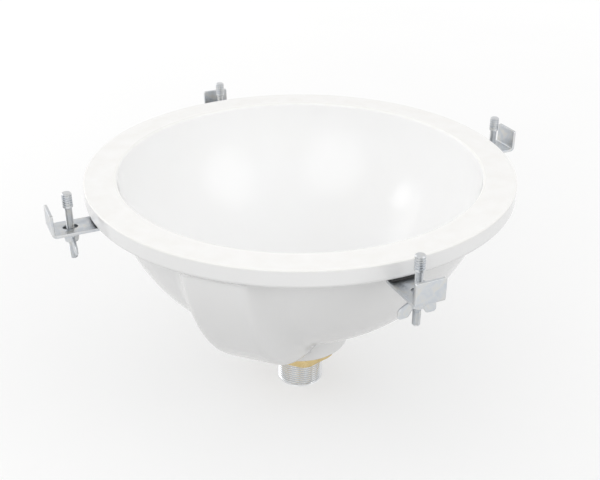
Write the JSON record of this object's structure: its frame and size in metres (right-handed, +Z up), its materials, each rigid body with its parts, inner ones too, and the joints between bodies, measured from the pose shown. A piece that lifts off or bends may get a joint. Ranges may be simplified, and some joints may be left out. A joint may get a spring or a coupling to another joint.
{
  "type": "undermount washbasin",
  "caption": "Round undermount washbasin: near-hemispherical glazed ceramic bowl with a flat ground rim, front overflow, push-button waste and clip fixings for a worktop.",
  "frame": {"origin": "centre of the rim's ground top face, which is the plane of the worktop's underside", "axes": "+Z up, -Y towards the person at the basin (the overflow side), +X to that person's right"},
  "size_m": [0.36, 0.36, 0.2283],
  "materials": {
    "glazed_ceramic": "gloss",
    "chrome_plate": "mirror polish",
    "brass": "machined",
    "black_rubber": "matt",
    "white_nylon": "matt",
    "zinc_plate": "zinc plated",
    "spring_steel": "drawn wire"
  },
  "bodies": {
    "basin": {"ceramic_bowl": "glazed_ceramic", "overflow_ring": "chrome_plate", "overflow_grip": "black_rubber", "waste_body": "chrome_plate", "flange_gasket": "black_rubber", "cone_washer": "black_rubber", "slip_washer": "white_nylon", "back_nut": "brass", "cartridge_body": "white_nylon", "cartridge_collar": "white_nylon", "cartridge_nut": "brass", "cartridge_spring": "spring_steel", "fixing_studs": "zinc_plate", "fixing_washers": "zinc_plate"},
    "plug": {"plug_cap": "chrome_plate", "plug_seal": "black_rubber", "plunger": "brass", "plunger_lock_nut": "brass"},
    "rotor": {"cartridge_rotor": "white_nylon"},
    "clip_rear_right": {"clip_rear_right": "zinc_plate", "clip_pad_rear_right": "black_rubber"},
    "wing_nut_rear_right": {"wing_nut_rear_right": "zinc_plate"},
    "clip_rear_left": {"clip_rear_left": "zinc_plate", "clip_pad_rear_left": "black_rubber"},
    "wing_nut_rear_left": {"wing_nut_rear_left": "zinc_plate"},
    "clip_front_left": {"clip_front_left": "zinc_plate", "clip_pad_front_left": "black_rubber"},
    "wing_nut_front_left": {"wing_nut_front_left": "zinc_plate"},
    "clip_front_right": {"clip_front_right": "zinc_plate", "clip_pad_front_right": "black_rubber"},
    "wing_nut_front_right": {"wing_nut_front_right": "zinc_plate"}
  },
  "joints": [
    {"name": "plug_press", "type": "slide", "parent": "basin", "child": "plug", "axis": [0, 0, 1], "range_m": [-0.009, 0], "stiffness_N_per_m": 600, "springref_m": 0.008, "deforming": ["cartridge_spring"]},
    {"name": "rotor_turn", "type": "hinge", "parent": "plug", "child": "rotor", "pos_m": [0, 0, -0.157], "axis": [0, 0, 1], "range_deg": [-45, 0]},
    {"name": "clip_swing_rear_right", "type": "hinge", "parent": "basin", "child": "clip_rear_right", "pos_m": [0.13859, 0.13859, -0.02], "axis": [0, 0, 1], "range_deg": [-90, 90]},
    {"name": "wing_nut_turn_rear_right", "type": "hinge", "parent": "basin", "child": "wing_nut_rear_right", "pos_m": [0.13859, 0.13859, -0.02], "axis": [0, 0, 1], "continuous": true},
    {"name": "clip_swing_rear_left", "type": "hinge", "parent": "basin", "child": "clip_rear_left", "pos_m": [-0.13859, 0.13859, -0.02], "axis": [0, 0, 1], "range_deg": [-90, 90]},
    {"name": "wing_nut_turn_rear_left", "type": "hinge", "parent": "basin", "child": "wing_nut_rear_left", "pos_m": [-0.13859, 0.13859, -0.02], "axis": [0, 0, 1], "continuous": true},
    {"name": "clip_swing_front_left", "type": "hinge", "parent": "basin", "child": "clip_front_left", "pos_m": [-0.13859, -0.13859, -0.02], "axis": [0, 0, 1], "range_deg": [-90, 90]},
    {"name": "wing_nut_turn_front_left", "type": "hinge", "parent": "basin", "child": "wing_nut_front_left", "pos_m": [-0.13859, -0.13859, -0.02], "axis": [0, 0, 1], "continuous": true},
    {"name": "clip_swing_front_right", "type": "hinge", "parent": "basin", "child": "clip_front_right", "pos_m": [0.13859, -0.13859, -0.02], "axis": [0, 0, 1], "range_deg": [-90, 90]},
    {"name": "wing_nut_turn_front_right", "type": "hinge", "parent": "basin", "child": "wing_nut_front_right", "pos_m": [0.13859, -0.13859, -0.02], "axis": [0, 0, 1], "continuous": true}
  ],
  "couplings": [
    {"joint": "rotor_turn", "follows": "plug_press", "rad_per_m": 87}
  ]
}
